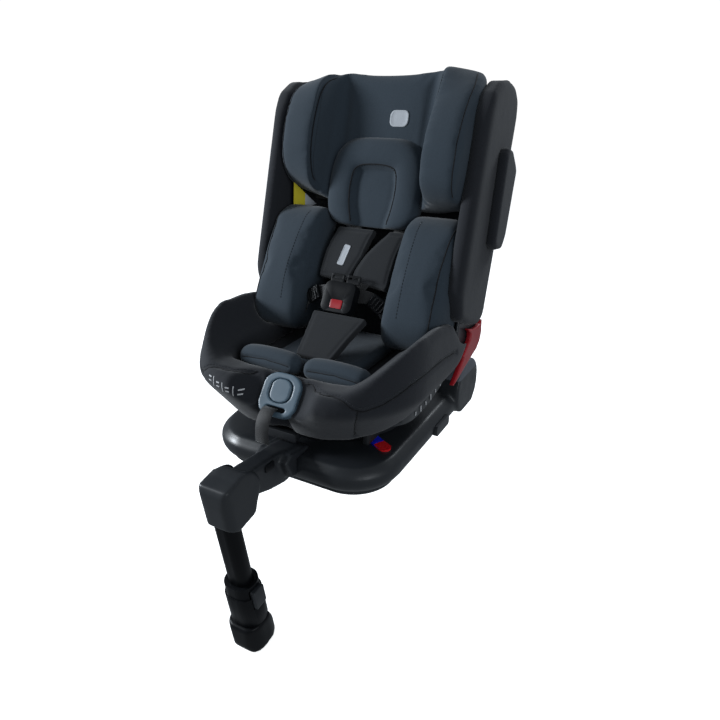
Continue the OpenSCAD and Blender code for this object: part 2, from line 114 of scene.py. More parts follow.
def glowing(name, colour, strength):
    material = bpy.data.materials.new(name)
    material.use_nodes = True
    shader = material.node_tree.nodes["Principled BSDF"]
    shader.inputs["Base Color"].default_value = (*colour, 1)
    shader.inputs["Roughness"].default_value = 1.0
    shader.inputs["Specular IOR Level"].default_value = 0.0
    shader.inputs["Emission Color"].default_value = (1, 1, 1, 1)
    shader.inputs["Emission Strength"].default_value = strength
    return material


def add_studio():
    world = bpy.data.worlds.new("studio")
    world.use_nodes = True
    world.node_tree.nodes["Background"].inputs["Color"].default_value = (0.84, 0.92, 1, 1)
    world.node_tree.nodes["Background"].inputs["Strength"].default_value = 0.29
    bpy.context.scene.world = world
    bpy.context.scene.view_settings.view_transform = "Standard"
    centre = (0, 0, 0.3)
    floor_radius, dome_radius = 9, 9.5
    add_area("key", (-2.3, -1.1, 1.1), centre, 0.8, 88)
    add_area("fill", (2.0, -1.2, 0.9), centre, 1.4, 16)
    add_area("rim", (0.8, 1.9, 1.8), centre, 1.0, 20)
    # pale floor, and a white dome seen behind everything that casts and bounces no light
    low = CAD_BOX[0][2] - 0.001
    bpy.ops.mesh.primitive_circle_add(vertices=96, radius=floor_radius, fill_type="NGON",
                                      location=(0, 0, low))
    floor = bpy.context.object
    floor.name = "floor"
    floor.data.materials.append(glowing("floor_white", (0.9, 0.9, 0.9), 0.80))
    bpy.ops.mesh.primitive_uv_sphere_add(segments=48, ring_count=24, radius=dome_radius, location=(0, 0, low))
    dome = bpy.context.object
    dome.name = "dome"
    dome.data.materials.append(glowing("dome_white", (0, 0, 0), 1.05))
    dome.visible_diffuse = dome.visible_glossy = dome.visible_shadow = dome.visible_transmission = False
    floor.visible_diffuse = floor.visible_glossy = False


# ---- materials ----
class Nodes:
    """Short hand for building one material's nodes."""

    def __init__(self, name):
        self.material = bpy.data.materials.new(name)
        self.material.use_nodes = True
        self.tree = self.material.node_tree
        self.shader = self.tree.nodes["Principled BSDF"]
        self.place = self.tree.nodes.new("ShaderNodeTexCoord").outputs["Object"]

    def add(self, kind, links=(), **values):
        node = self.tree.nodes.new("ShaderNode" + kind)
        for name, value in values.items():
            if hasattr(node, name):
                setattr(node, name, value)
            else:
                node.inputs[name.replace("_", " ")].default_value = value
        for name, output in links:
            self.tree.links.new(output, node.inputs[name])
        return node

    def noise(self, scale, detail=3.0, stretch=None):
        place = self.place
        if stretch:
            place = self.add("Mapping", [("Vector", place)], Scale=stretch).outputs["Vector"]
        return self.add("TexNoise", [("Vector", place)], Scale=scale, Detail=detail).outputs["Fac"]

    def ramp(self, factor, stops):
        node = self.add("ValToRGB", [("Fac", factor)])
        elements = node.color_ramp.elements
        while len(elements) < len(stops):
            elements.new(0.5)
        for element, (at, colour) in zip(elements, stops):
            element.position = at
            element.color = (*colour, 1)
        return node.outputs["Color"]

    def mix(self, factor, a, b):
        node = self.tree.nodes.new("ShaderNodeMix")
        node.data_type = "RGBA"
        self.tree.links.new(factor, node.inputs[0])
        for socket, value in ((node.inputs[6], a), (node.inputs[7], b)):
            if isinstance(value, tuple):
                socket.default_value = (*value, 1)
            else:
                self.tree.links.new(value, socket)
        return node.outputs[2]

    def bump(self, height, strength, distance, below=None):
        links = [("Height", height)] + ([("Normal", below)] if below else [])
        return self.add("Bump", links, Strength=strength, Distance=distance).outputs["Normal"]

    def finish(self, colour=None, normal=None, roughness=None, **constants):
        for name, output in (("Base Color", colour), ("Normal", normal), ("Roughness", roughness)):
            if isinstance(output, tuple):
                self.shader.inputs[name].default_value = (*output, 1)
            elif isinstance(output, float):
                self.shader.inputs[name].default_value = output
            elif output is not None:
                self.tree.links.new(output, self.shader.inputs[name])
        for name, value in constants.items():
            self.shader.inputs[name.replace("_", " ")].default_value = value
        return self.material


def shade(colour, factor):
    return tuple(min(1.0, c * factor) for c in colour)


def knit(name, colour, contrast, sheen):
    """Heathered knit: mottled yarn colour over a fine knitted bump."""
    n = Nodes(name)
    yarn = n.ramp(n.noise(1400, 2), [(0.3, shade(colour, 1 - contrast)), (0.7, shade(colour, 1 + contrast))])
    worn = n.ramp(n.noise(7, 4), [(0.35, (0.35, 0.35, 0.35)), (0.7, (0.65, 0.65, 0.65))])
    tone = n.mix(worn, n.mix(n.noise(60, 2), yarn, shade(colour, 0.92)), yarn)
    loops = n.add("TexVoronoi", [("Vector", n.place)], Scale=620.0).outputs["Distance"]
    fine = n.bump(loops, 0.35, 0.0004)
    folds = n.bump(n.noise(45, 3), 0.25, 0.002, fine)
    return n.finish(tone, folds, 0.88, Sheen_Weight=sheen, Sheen_Roughness=0.5, Specular_IOR_Level=0.25)


def weave(name, colour):
    """Ribbed webbing: diagonal ribs under crossing yarns."""
    n = Nodes(name)
    ribs = n.add("TexWave", [("Vector", n.place)], Scale=260.0, Distortion=0.6, bands_direction="DIAGONAL")
    cross = n.add("TexWave", [("Vector", n.place)], Scale=420.0, Distortion=0.4, bands_direction="X")
    tone = n.mix(ribs.outputs["Fac"], shade(colour, 0.6), shade(colour, 1.6))
    low = n.bump(cross.outputs["Fac"], 0.3, 0.0003)
    return n.finish(tone, n.bump(ribs.outputs["Fac"], 0.5, 0.0004, low), 0.62, Sheen_Weight=0.2)


def moulded(name, colour, roughness=0.45, grain=0.18, scuff=1.6, shine=0.45):
    """Moulded plastic: fine grain, uneven gloss and lighter, rubbed edges."""
    n = Nodes(name)
    rubbed = n.ramp(n.add("NewGeometry").outputs["Pointiness"], [(0.52, (0, 0, 0)), (0.6, (1, 1, 1))])
    patchy = n.mix(n.noise(9, 4), shade(colour, 0.88), shade(colour, 1.12))
    tone = n.mix(rubbed, patchy, shade(colour, scuff))
    gloss = n.ramp(n.noise(26, 5), [(0.3, (roughness - 0.07,) * 3), (0.7, (roughness + 0.09,) * 3)])
    return n.finish(tone, n.bump(n.noise(1600, 2), grain, 0.0002), gloss, Specular_IOR_Level=shine)


def plated(name, colour):
    """Zinc-plated or brushed steel with fine drawn lines."""
    roughness = 0.34
    n = Nodes(name)
    lines = n.noise(40, 3, (1, 30, 30))
    tone = n.mix(n.noise(14, 4), shade(colour, 0.8), shade(colour, 1.1))
    gloss = n.ramp(lines, [(0.3, (roughness - 0.08,) * 3), (0.7, (roughness + 0.12,) * 3)])
    return n.finish(tone, n.bump(lines, 0.12, 0.0002), gloss, Metallic=1.0)


MATERIALS = {
    "black_plastic": moulded("black_plastic_grain", (0.015, 0.017, 0.020), 0.38, 0.18, 1.35, 0.38),
    "charcoal_plastic": moulded("charcoal_plastic_grain", (0.010, 0.011, 0.013), 0.46, 0.18, 1.3, 0.3),
    "tube_paint": moulded("tube_powder_coat", (0.003, 0.0033, 0.004), 0.34, 0.1, 1.2, 0.12),
    "grey_plastic": moulded("blue_grey_plastic", (0.062, 0.098, 0.130), 0.38, 0.1, 1.15),
    "red_plastic": moulded("red_plastic_gloss", (0.30, 0.008, 0.014), 0.3, 0.05, 1.2),
    "steel": plated("zinc_plated_steel", (0.24, 0.25, 0.27)),
    "black_fabric": knit("black_knit", (0.0125, 0.0140, 0.0180), 0.3, 0.14),
    "charcoal_fabric": knit("charcoal_knit", (0.0150, 0.0165, 0.0190), 0.25, 0.10),
    "slate_fabric": knit("slate_heather_knit", (0.027, 0.039, 0.052), 0.22, 0.14),
    "webbing": weave("harness_weave", (0.006, 0.006, 0.007)),
    "badge": moulded("badge_blue", (0.012, 0.02, 0.62), 0.25, 0.03, 1.1),
    "indicator": moulded("indicator_green", (0.02, 0.05, 0.035), 0.25, 0.03, 1.1),
    "scale_print": moulded("white_print", (0.45, 0.45, 0.46), 0.6, 0.03, 1.0),
}
THREAD = knit("sewing_thread", (0.017, 0.021, 0.026), 0.15, 0.1)
PIPING = knit("black_piping", (0.005, 0.0055, 0.007), 0.2, 0.08)
LABEL = knit("woven_label", (0.42, 0.44, 0.47), 0.08, 0.1)
BADGE_RED = moulded("badge_red", (0.62, 0.012, 0.016), 0.25, 0.03, 1.1)
TAG_YELLOW = knit("tag_yellow", (0.62, 0.52, 0.03), 0.05, 0.05)
EAR_GREY = moulded("scuffed_grey_plastic", (0.075, 0.082, 0.098), 0.5, 0.2, 1.6)
JET = moulded("jet_plastic", (0.0035, 0.0040, 0.0050), 0.36, 0.12, 1.3, 0.14)
# pieces whose paint or plastic is darker than the rest of their slot
DARK_PIECES = ("leg_collar", "buckle", "buckle_tongues", "leg_indicator", "leg_inner_tube", "swivel_button")


# ---- mesh tools ----
def new_object(name, points, faces, slot, smooth=True, material=None):
    mesh = bpy.data.meshes.new(name)
    mesh.from_pydata([tuple(p) for p in points], [], [tuple(f) for f in faces])
    mesh.update()
    obj = bpy.data.objects.new(name, mesh)
    bpy.context.collection.objects.link(obj)
    obj.data.materials.append(material or MATERIALS[slot])
    if smooth:
        mesh.shade_smooth()
    return obj


def coords(obj):
    co = np.empty(len(obj.data.vertices) * 3)
    obj.data.vertices.foreach_get("co", co)
    return co.reshape(-1, 3)


def set_coords(obj, co):
    obj.data.vertices.foreach_set("co", np.ascontiguousarray(co, float).ravel())
    obj.data.update()


def normals(obj):
    no = np.empty(len(obj.data.vertices) * 3)
    obj.data.vertices.foreach_get("normal", no)
    return no.reshape(-1, 3)


def bake_modifiers(obj):
    depsgraph = bpy.context.evaluated_depsgraph_get()
    mesh = bpy.data.meshes.new_from_object(obj.evaluated_get(depsgraph))
    old = obj.data
    obj.modifiers.clear()
    obj.data = mesh
    bpy.data.meshes.remove(old)


def remesh(obj, voxel):
    modifier = obj.modifiers.new("remesh", "REMESH")
    modifier.mode = "VOXEL"
    modifier.voxel_size = voxel
    modifier.use_smooth_shade = True
    bake_modifiers(obj)


def relax(obj, rounds):
    """Rounds a mesh by moving each vertex halfway towards the mean of its neighbours."""
    mesh = obj.data
    edges = np.empty(len(mesh.edges) * 2, int)
    mesh.edges.foreach_get("vertices", edges)
    a, b = edges.reshape(-1, 2).T
    co = coords(obj)
    count = np.bincount(np.concatenate([a, b]), minlength=len(co))[:, None]
    for _ in range(rounds):
        total = np.stack([np.bincount(a, co[b, k], len(co)) + np.bincount(b, co[a, k], len(co))
                          for k in range(3)], 1)
        co = co + 0.5 * (total / np.maximum(count, 1) - co)
    set_coords(obj, co)


def grow(obj, amount):
    """Moves each vertex out along its normal, by one amount or by one for each vertex."""
    set_coords(obj, coords(obj) + normals(obj) * (amount if np.isscalar(amount) else amount[:, None]))


def distance_to_path(points, path):
    """Shortest distance from each point to a polyline, in as many dimensions as both have."""
    path = np.asarray(path, float)
    best = np.full(len(points), 1e9)
    for p, q in zip(path[:-1], path[1:]):
        d = q - p
        t = np.clip((points - p) @ d / max(d @ d, 1e-12), 0, 1)
        best = np.minimum(best, np.linalg.norm(points - p - t[:, None] * d, axis=1))
    return best


def curve_through(points, count, closed=False):
    """Catmull-Rom points through the given ones, evenly numbered."""
    p = np.asarray(points, float)
    p = np.vstack([p[-1:], p, p[:2]]) if closed else np.vstack([2 * p[0] - p[1], p, 2 * p[-1] - p[-2]])
    spans = len(p) - 3
    out = []
    for t in np.linspace(0, spans, count, endpoint=not closed):
        i = min(int(t), spans - 1)
        f = t - i
        a, b, c, d = p[i:i + 4]
        out.append(0.5 * (2 * b + (c - a) * f + (2 * a - 5 * b + 4 * c - d) * f ** 2
                          + (3 * b - a - 3 * c + d) * f ** 3))
    return np.array(out)


def groove(obj, path, depth, width):
    """Presses a sewn channel into the surface along a path."""
    d = distance_to_path(coords(obj), path)
    grow(obj, -depth * np.exp(-(d / width) ** 2))


def puff(obj, pressure, cap, frames):
    """Fills the piece like a cushion: Cloth with pressure, each point moved no further than cap."""
    start = coords(obj)
    modifier = obj.modifiers.new("cloth", "CLOTH")
    settings = modifier.settings
    settings.quality = 5
    settings.mass = 0.3
    settings.tension_stiffness = settings.compression_stiffness = 12
    settings.shear_stiffness = 8
    settings.bending_stiffness = 1.5
    settings.use_pressure = True
    settings.uniform_pressure_force = pressure
    settings.effector_weights.gravity = 0
    modifier.point_cache.frame_end = frames
    scene = bpy.context.scene
    for number in range(1, frames + 1):
        scene.frame_set(number)
        bpy.context.view_layer.update()
    bake_modifiers(obj)
    move = coords(obj) - start
    length = np.linalg.norm(move, axis=1, keepdims=True)
    set_coords(obj, start + move * np.minimum(1, cap / np.maximum(length, 1e-9)))
    scene.frame_set(1)


def copy_of(name, node):
    """A new object with a copy of a CAD node's mesh."""
    data = NODES[node].data.copy()
    data.name = name
    obj = bpy.data.objects.new(name, data)
    bpy.context.collection.objects.link(obj)
    data.materials.clear()
    data.materials.append(MATERIALS[SLOT_OF[node]])
    return obj


def soft(obj, body, node):
    """Shades a padded piece smooth, hangs it on its body and hides the CAD node it stands for."""
    obj.data.shade_smooth()
    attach(obj, body)
    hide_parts(node)
    return obj


def slab(name, slot, outline, half, voxel, rounds):
    """Closed prism over a flat outline (a, b), remeshed and rounded; c is its thickness."""
    n = len(outline)
    points = [(a, b, s * half) for s in (-1, 1) for a, b in outline]
    faces = [list(range(n))[::-1], list(range(n, 2 * n))]
    faces += [(i, (i + 1) % n, n + (i + 1) % n, n + i) for i in range(n)]
    obj = new_object(name, points, faces, slot)
    remesh(obj, voxel)
    relax(obj, rounds)
    return obj


def band_faces(rows, size, start=0):
    """Quads joining rings of vertices, one ring after another."""
    return [(start + i * size + k, start + i * size + (k + 1) % size,
             start + (i + 1) * size + (k + 1) % size, start + (i + 1) * size + k)
            for i in range(rows - 1) for k in range(size)]


def surface_path(obj, path, lift=0.0):
    """The path dropped onto the nearest surface, and the surface normals there."""
    tree = BVHTree.FromObject(obj, bpy.context.evaluated_depsgraph_get())
    hits = [tree.find_nearest(Vector(p)) for p in path]
    for _ in range(3):
        where = np.array([h[0] for h in hits])
        where[1:-1] = (where[:-2] + where[1:-1] + where[2:]) / 3
        hits = [tree.find_nearest(Vector(p)) for p in where]
    where = np.array([h[0] for h in hits])
    out = np.array([h[1] for h in hits])
    return where + out * lift, out


def tube(name, path, radius, slot, material):
    """A round piping swept along a path, closed at both ends."""
    sides, shortest = 8, 1e-5
    path = np.asarray(path, float)
    steps = np.linalg.norm(np.diff(path, axis=0), axis=1)
    path = path[np.concatenate([[True], steps > shortest])]
    ahead = np.roll(path, -1, 0) - np.roll(path, 1, 0)
    ahead[0], ahead[-1] = path[1] - path[0], path[-1] - path[-2]
    ahead /= np.linalg.norm(ahead, axis=1, keepdims=True)
    # a direction that no piping runs along
    leaning = (0.31, 0.17, 0.93)
    side = np.cross(ahead, leaning)
    side /= np.linalg.norm(side, axis=1, keepdims=True)
    other = np.cross(ahead, side)
    turn = np.linspace(0, 2 * math.pi, sides, endpoint=False)
    rings = [p + radius * (math.cos(t) * s + math.sin(t) * o)
             for p, s, o in zip(path, side, other) for t in turn]
    faces = band_faces(len(path), sides)
    faces += [list(range(sides))[::-1], list(range((len(path) - 1) * sides, len(path) * sides))]
    return new_object(name, rings, faces, slot, material=material)


def piping(name, onto, path, radius, body, slot="slate_fabric", lift=0.0):
    """Sewn piping along a path that is dropped onto a pad."""
    where, _ = surface_path(onto, path, lift)
    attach(tube(name, where, radius, slot, PIPING), body)


def stitches(name, obj, path, body):
    """A row of thread stitches lying on a surface along a path."""
    pitch, length, radius, sides = 0.006, 0.0042, 0.0005, 5
    # share of the stitch's length and of its radius at each ring of its outline
    rings = ((0, 0.35), (0.2, 1), (0.8, 1), (1, 0.35))
    where, out = surface_path(obj, path, 0.0003)
    gaps = np.linalg.norm(np.diff(where, axis=0), axis=1)
    along = np.concatenate([[0], np.cumsum(gaps)])
    points, faces = [], []
    for start in np.arange(0, along[-1] - length, pitch):
        ends = np.array([[np.interp(start + s, along, where[:, k]) for k in range(3)] for s in (0, length)])
        middle = int(np.searchsorted(along, start + length / 2))
        up = out[min(middle, len(out) - 1)]
        ahead = (ends[1] - ends[0]) / max(np.linalg.norm(ends[1] - ends[0]), 1e-9)
        side = np.cross(ahead, up)
        base = len(points)
        for f, r in rings:
            centre = ends[0] + (ends[1] - ends[0]) * f
            points += [centre + radius * r * (math.cos(t) * side + math.sin(t) * up)
                       for t in np.linspace(0, 2 * math.pi, sides, endpoint=False)]
        faces += band_faces(len(rings), sides, base)
        faces += [list(range(base, base + sides))[::-1], list(range(len(points) - sides, len(points)))]
    row = new_object(name, points, faces, "webbing", material=THREAD)
    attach(row, body)
    return row


def ribbon(name, path, width, thick, slot, across, count):
    """A woven strap: a flat band with rounded edges swept along a path. across is its width direction."""
    rounding, crown = 0.35, 1.05
    path = curve_through(path, count)
    across = np.broadcast_to(np.asarray(across, float), path.shape)
    ahead = np.gradient(path, axis=0)
    ahead /= np.linalg.norm(ahead, axis=1, keepdims=True)
    flat = across - ahead * np.sum(across * ahead, axis=1, keepdims=True)
    flat /= np.linalg.norm(flat, axis=1, keepdims=True)
    up = np.cross(flat, ahead)
    h, e = thick / 2, thick * rounding
    half = width / 2
    ring = [(-half, 0), (-half + e, h), (-half * 0.5, h * crown), (0, h), (half * 0.5, h * crown),
            (half - e, h), (half, 0), (half - e, -h), (0, -h), (-half + e, -h)]
    size = len(ring)
    points = [p + f * a + u * b for p, f, u in zip(path, flat, up) for a, b in ring]
    faces = band_faces(count, size)
    faces += [list(range(size))[::-1], list(range((count - 1) * size, count * size))]
    return new_object(name, points, faces, slot)


# ---- rigid pieces: CAD nodes with rounded edges and real materials ----
SOFT_SLOTS = ("black_fabric", "charcoal_fabric", "slate_fabric", "webbing")
BEVELS = {"base_tray": 0.002, "leg_collar": 0.003, "leg_button": 0.003, "turntable": 0.003, "buckle": 0.005,
          "buckle_button": 0.002, "recline_lever": 0.003, "pan_shell": 0.002, "headrest_lever": 0.004}


def dress_rigid():
    for node, slot in SLOT_OF.items():
        obj = NODES[node]
        obj.data.materials.clear()
        obj.data.materials.append(JET if node in DARK_PIECES else MATERIALS[slot])
        if slot in SOFT_SLOTS:
            continue
        weld = obj.modifiers.new("weld", "WELD")
        weld.merge_threshold = 0.00002
        bevel = obj.modifiers.new("bevel", "BEVEL")
        bevel.width = BEVELS.get(node, 0.001)
        bevel.segments = 3
        bevel.limit_method = "ANGLE"
        bevel.angle_limit = math.radians(32)
        bevel.harden_normals = True
        obj.data.shade_smooth()


def moulding(name, node, body, voxel, rounds, material=None):
    """A moulded piece with softly rounded edges, made over its CAD solid."""
    obj = copy_of(name, node)
    if material:
        obj.data.materials[0] = material
    remesh(obj, voxel)
    relax(obj, rounds)
    obj.data.shade_smooth()
    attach(obj, body)
    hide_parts(node)
    return obj


# Tilt of the adjuster plate, and how far it sits to the +X side of its CAD solid
PLATE_TILT = math.radians(52)
PLATE_SHIFT = 0.007


def make_adjuster():
    """The adjuster plate and its oval button: a little off the middle, and shortened down the slope."""
    slope = np.array([0, math.cos(PLATE_TILT), math.sin(PLATE_TILT)])
    shortening = 0.10
    foot = None
    for name, node, body, stretch in (("adjuster_face", "adjuster_plate", "seat", 1.12),
                                      ("adjuster_oval", "adjuster_button", "adjuster", 1.0)):
        obj = moulding(name, node, body, 0.0014, 4)
        co = coords(obj) * (stretch, 1, 1) + (PLATE_SHIFT, 0, 0)
        if foot is None:
            foot = co[co[:, 2].argmin()]
        set_coords(obj, co - shortening * ((co - foot) @ slope)[:, None] * slope)


def rib_rear(shell):
    """Raises a rim, stiffening ribs and two belt-slot frames on the rear face of the backrest shell."""
    co = coords(shell)
    origin = back([(0, 0, 0)])[0]
    behind = back([(0, -1, 0)])[0] - origin
    along = back([(0, 0, 1)])[0] - origin
    x, u = np.abs(co[:, 0]), (co - origin) @ along
    facing = smoothstep(normals(shell) @ behind, 0.85, 0.97)
    panel_half_w, panel_middle, panel_half_h, spine_x, rise = 0.150, 0.255, 0.165, 0.058, 0.0028
    edge = np.maximum(x - panel_half_w, np.abs(u - panel_middle) - panel_half_h)
    rim = 1 - smoothstep(np.abs(edge), 0.003, 0.006)
    inside = 1 - smoothstep(edge, -0.008, -0.005)
    rib_pitch, slot_pitch, slot_x, slot_half_w, slot_half_h = 0.05, 0.055, 0.029, 0.018, 0.004
    from_rib = np.abs((u - 0.13) % rib_pitch - rib_pitch / 2)
    rib = (1 - smoothstep(from_rib, 0.002, 0.0045)) * (x > spine_x)
    spine = 1 - smoothstep(np.abs(x - spine_x), 0.002, 0.0045)
    from_slot = np.abs((u - 0.30) % slot_pitch - slot_pitch / 2)
    slot = np.maximum(np.abs(x - slot_x) - slot_half_w, from_slot - slot_half_h)
    frames = (1 - smoothstep(np.abs(slot), 0.0012, 0.003)) * (x < 0.052) * (np.abs(u - 0.327) < 0.082)
    height = np.maximum(rim, inside * np.maximum(rib, np.maximum(spine, 0.8 * frames)))
    set_coords(shell, co + (rise * facing * height)[:, None] * behind)


def make_mouldings():
    make_adjuster()
    housing = moulding("base_housing", "base_cover", "base", 0.0030, 9)
    # the two rear ears are a lighter, scuffed plastic
    housing.data.materials.append(EAR_GREY)
    ear_low, ear_front = 0.088, 0.10
    for face in housing.data.polygons:
        if face.center.z > ear_low and face.center.y > ear_front:
            face.material_index = 1
    moulding("leg_bracket", "leg_arm", "base", 0.0026, 8)
    moulding("leg_knuckle", "leg_housing", "leg", 0.0022, 10)
    moulding("foot_boot", "leg_foot", "leg_slide", 0.0026, 10, JET)
    moulding("recline_block", "recline_cradle", "table", 0.0026, 3)
    rib_rear(moulding("rear_shell", "back_shell", "seat", 0.0026, 4))
    for side in ("left", "right"):
        moulding("guide_hook_" + side, "belt_guide_" + side, "seat", 0.0018, 5)


# ---- headrest: one pad bent into a U, thin behind the head and thick in the wings ----
# half width of its flat middle, radius of its bends, how far forward its middle line starts, and half
# the thickness of the flat slab that is bent into it
HEAD_FLAT = 0.080
HEAD_BEND = 0.074
HEAD_BACK = 0.042
HEAD_SLAB = 0.02


def head_line(a):
    """Middle line of the pad across the headrest: place (x, n) and normal towards the head."""
    side = np.sign(a)
    s = np.abs(a)
    angle = np.clip((s - HEAD_FLAT) / HEAD_BEND, 0, math.pi / 2)
    rest = np.maximum(s - HEAD_FLAT - HEAD_BEND * math.pi / 2, 0)
    x = np.minimum(s, HEAD_FLAT) + HEAD_BEND * np.sin(angle)
    n = HEAD_BACK + HEAD_BEND * (1 - np.cos(angle)) + rest
    return side * x, n, -side * np.sin(angle), np.cos(angle)


def head_reach(n):
    """Distance along the middle line to where it has come forward to n."""
    if n < HEAD_BACK + HEAD_BEND:
        return HEAD_FLAT + HEAD_BEND * math.acos(1 - max(n - HEAD_BACK, 0) / HEAD_BEND)
    return HEAD_FLAT + HEAD_BEND * math.pi / 2 + n - HEAD_BACK - HEAD_BEND


def bend_head(obj):
    co = coords(obj)
    x, n, out_x, out_n = head_line(co[:, 0])
    half = 0.010 + 0.019 * smoothstep(np.abs(co[:, 0]), 0.08, 0.165)
    # the outer side is squarer than the inner one
    angle = np.clip((np.abs(co[:, 0]) - HEAD_FLAT) / HEAD_BEND, 0, math.pi / 2)
    c = co[:, 2] / HEAD_SLAB * (half + np.where(co[:, 2] < 0, 0.022 * np.sin(2 * angle), 0))
    set_coords(obj, back(np.stack([x + c * out_x, n + c * out_n, co[:, 1]], 1)))


def make_headrest():
    low = 0.256
    # height and forward reach of each wing's rim, from its foot to its top
    fronts = {1: [(0.262, 0.062), (0.268, 0.104), (0.284, 0.130), (0.309, 0.143), (0.361, 0.145),
                  (0.407, 0.135), (0.449, 0.118), (0.480, 0.100), (0.501, 0.084), (0.510, 0.069)],
              -1: [(0.266, 0.045), (0.280, 0.070), (0.300, 0.096), (0.340, 0.116), (0.385, 0.121),
                   (0.432, 0.114), (0.466, 0.102), (0.489, 0.082), (0.504, 0.060), (0.512, 0.040)]}
    half = {side: [(0.06 * side, low), (0.10 * side, low + 0.002)]
            + [(side * head_reach(n), u) for u, n in front]
            + [(side * 0.095, 0.512), (side * 0.05, 0.508)] for side, front in fronts.items()}
    outline = curve_through([(0.0, low)] + half[1] + [(0.0, 0.506)] + half[-1][::-1], 150, closed=True)
    pad = slab("headrest_cover", "slate_fabric", [tuple(p) for p in outline], HEAD_SLAB, 0.0045, 10)
    co = coords(pad)
    # seam just behind the front rim of each wing, where the inner face meets the roll
    rims = {side: curve_through([(side * (head_reach(n) - 0.016), u) for u, n in front[1:-1]], 50)
            for side, front in fronts.items()}
    wrinkle = np.zeros(len(co))
    for rim in rims.values():
        d = distance_to_path(co[:, :2], rim)
        wrinkle -= 0.26 * np.exp(-(d / 0.005) ** 2) * (co[:, 2] > 0)
    crown = smoothstep(np.abs(co[:, 0]), 0.13, 0.20) * 0.18
    hollow = 0.10 * np.exp(-((co[:, 1] - 0.40) / 0.06) ** 2) * (np.abs(co[:, 0]) < 0.12)
    co[:, 2] *= 1 + wrinkle + crown - hollow
    set_coords(pad, co)
    bend_head(pad)
    relax(pad, 2)
    puff(pad, 2.5, 0.005, 10)
    soft(pad, "headrest", "headrest_pad")
    for side, label in SIDES:
        rim = rims[side][5:-2]
        x, n, out_x, out_n = head_line(rim[:, 0])
        path = np.stack([x + 0.03 * out_x, n + 0.03 * out_n, rim[:, 1]], 1)
        piping("headrest_piping_" + label, pad, back(path), 0.0011, "headrest")
        stitches("headrest_stitches_" + label, pad, back(path - (0, 0.007, 0)), "headrest")
        # outer seam where the wing's front panel meets its side
        x, n, out_x, out_n = head_line(rim[:, 0] + side * 0.012)
        path = back(np.stack([x - 0.03 * out_x, n - 0.03 * out_n, rim[:, 1]], 1))
        piping("headrest_edge_" + label, pad, path, 0.0010, "headrest")
    # plain woven label
    patch(pad, "headrest_label", "headrest", (0.030, 0.075, 0.424), (0.038, 0.030), 0.010)


# Rings of a sewn label from its edge inwards: share of its size, height above the pad
LABEL_RINGS = ((1.0, 0.0), (1.0, 0.0010), (0.90, 0.0013), (0.84, 0.0007), (0.5, 0.0007), (0.02, 0.0007))


def patch(onto, name, body, centre, size, corner, turn=0.0):
    """A plain sewn label: a thin raised patch with rounded corners and a border, laid on a pad."""
    w, h = size[0] / 2 - corner, size[1] / 2 - corner
    outline = [(sx * w + corner * math.cos(a), sy * h + corner * math.sin(a))
               for sx, sy, start in ((1, 1, 0), (-1, 1, 90), (-1, -1, 180), (1, -1, 270))
               for a in (math.radians(start + k * 15) for k in range(7))]
    rings = [(a * scale, b * scale, lift) for scale, lift in LABEL_RINGS for a, b in outline]
    c, s = math.cos(turn), math.sin(turn)
    flat = back([(centre[0] + a * c - b * s, centre[1], centre[2] + a * s + b * c) for a, b, _ in rings])
    tree = BVHTree.FromObject(onto, bpy.context.evaluated_depsgraph_get())
    inward = -back([(0, 1, 0)])[0] + back([(0, 0, 0)])[0]
    points = []
    for p, (_, _, lift) in zip(flat, rings):
        where, out, _, _ = tree.ray_cast(Vector(p - inward * 0.05), Vector(inward))
        if where is None:
            where, out, _, _ = tree.find_nearest(Vector(p))
        points.append(np.array(where) + np.array(out) * (lift + 0.0002))
    faces = band_faces(len(LABEL_RINGS), len(outline))
    faces.append(tuple(range(len(points) - len(outline), len(points))))
    label = new_object(name, points, faces, "webbing", material=LABEL)
    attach(label, body)


# ---- neck pillow: a horseshoe roll round a flat panel ----
def make_neck_pillow():
    half_w, low, top = 0.099, 0.220, 0.388
    crown_r, foot_r = 0.055, 0.04
    outline = []
    for cx, cu, start in ((half_w - crown_r, top - crown_r, 0), (-half_w + crown_r, top - crown_r, 90),
                          (-half_w + foot_r, low + foot_r, 180), (half_w - foot_r, low + foot_r, 270)):
        r = crown_r if start < 180 else foot_r
        for step in range(7):
            t = math.radians(start + 15 * step)
            outline.append((cx + r * math.cos(t), cu + r * math.sin(t)))
    pillow = slab("neck_pillow_cover", "slate_fabric", outline, 0.016, 0.0035, 6)
    co = coords(pillow)
    roll = curve_through([(-0.060, 0.222), (-0.070, 0.262), (-0.071, 0.31), (-0.056, 0.350), (0, 0.359),
                          (0.056, 0.350), (0.071, 0.31), (0.070, 0.262), (0.060, 0.222)], 60)
    d = distance_to_path(co[:, :2], roll)
    roll_r = 0.031
    height = 0.30 + 0.95 * np.sqrt(np.clip(1 - (d / roll_r) ** 2, 0, 1))
    height -= 0.16 * np.exp(-((d - 0.030) / 0.004) ** 2)
    c = co[:, 2] * np.where(co[:, 2] > 0, height, 0.8)
    n = 0.054 + c - 0.10 * np.maximum(0.26 - co[:, 1], 0)
    set_coords(pillow, back(np.stack([co[:, 0], n, co[:, 1]], 1)))
    relax(pillow, 3)
    soft(pillow, "headrest", "neck_pillow")
    inner = curve_through([(-0.030, 0.226), (-0.039, 0.262), (-0.040, 0.300), (-0.034, 0.324), (0, 0.328),
                           (0.034, 0.324), (0.040, 0.300), (0.039, 0.262), (0.030, 0.226)], 60)
    path = back(np.stack([inner[:, 0], np.full(len(inner), 0.08), inner[:, 1]], 1))
    piping("neck_pillow_piping", pillow, path, 0.0012, "headrest")
    inset = np.stack([inner[:, 0] * 0.88, np.full(len(inner), 0.08), (inner[:, 1] - 0.28) * 0.93 + 0.28], 1)
    stitches("neck_pillow_stitches", pillow, back(inset), "headrest")


